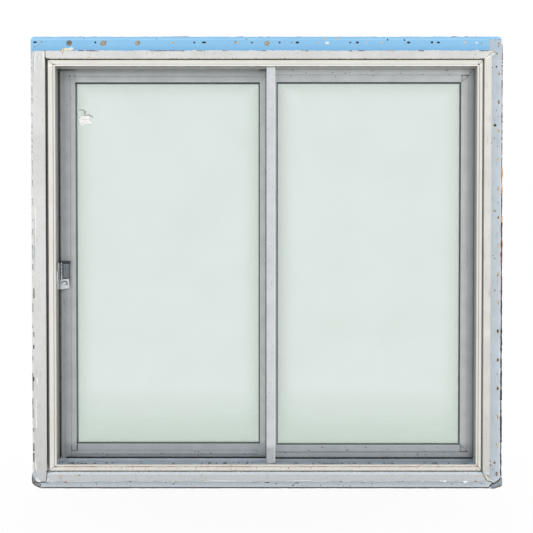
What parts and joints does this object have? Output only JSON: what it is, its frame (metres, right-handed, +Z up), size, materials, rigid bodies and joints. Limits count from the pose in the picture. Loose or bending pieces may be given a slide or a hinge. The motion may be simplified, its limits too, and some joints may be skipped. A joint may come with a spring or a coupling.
{
  "type": "horizontal sliding window",
  "caption": "Horizontal sliding window with nailing fins: a sliding sash on the left behind a fixed light on the right, split by a mullion bar, in a deep hollow frame with a raised inner ridge.",
  "frame": {"origin": "middle of the back face of the sill's nailing fin, which lies on the wall", "axes": "+X right seen from outside, +Y into the building, +Z up"},
  "size_m": [1.2518, 0.08, 1.2008],
  "materials": {
    "frame_white": "aged white enamel on extruded aluminium",
    "ridge_cream": "cream enamel on extruded aluminium",
    "casing_grey": "weathered off-white enamel",
    "fin_blue": "sky-blue protective film over the fin",
    "fin_grey": "dull mill finish",
    "sill_slate": "dull blue-grey mill finish",
    "track_metal": "mill finish",
    "mullion_white": "pale satin enamel",
    "sash_aluminium": "aged anodised aluminium",
    "glass": "clear glass with a pale green tint, dusty",
    "spacer_metal": "mill finish",
    "gasket_black": "black glazing rubber",
    "roller_nylon": "moulded nylon",
    "latch_slate": "slate-grey moulded plastic",
    "latch_silver": "silver-white enamel",
    "keeper_metal": "mill finish"
  },
  "bodies": {
    "root": {"frame_head": "frame_white", "frame_sill": "frame_white", "jamb_left": "frame_white", "jamb_right": "frame_white", "room_leg_head": "frame_white", "room_leg_sill": "frame_white", "room_leg_left": "frame_white", "room_leg_right": "frame_white", "ridge_head": "ridge_cream", "ridge_sill": "ridge_cream", "ridge_left": "ridge_cream", "ridge_right": "ridge_cream", "casing_head": "casing_grey", "casing_sill": "casing_grey", "casing_left": "casing_grey", "casing_right": "casing_grey", "fin_head": "fin_blue", "fin_sill": "fin_grey", "fin_left": "fin_grey", "fin_right": "fin_grey", "fin_corners_top": "fin_grey", "fin_corners_bottom": "fin_grey", "sill_rail": "sill_slate", "head_guide": "track_metal", "sill_track": "track_metal", "fixed_mullion": "mullion_white", "fixed_bead_left": "sash_aluminium", "fixed_rail_top": "sash_aluminium", "fixed_rail_bottom": "sash_aluminium", "fixed_stile_right": "sash_aluminium", "fixed_glass": "glass", "fixed_spacer": "spacer_metal", "fixed_gasket": "gasket_black", "sash_stile_lock": "sash_aluminium", "sash_stile_meeting": "sash_aluminium", "sash_rail_top": "sash_aluminium", "sash_rail_bottom": "sash_aluminium", "sash_glass": "glass", "sash_spacer": "spacer_metal", "sash_gasket": "gasket_black", "sash_rollers": "roller_nylon", "latch_body": "latch_slate", "latch_thumb": "latch_silver", "latch_keeper": "keeper_metal"}
  },
  "joints": []
}
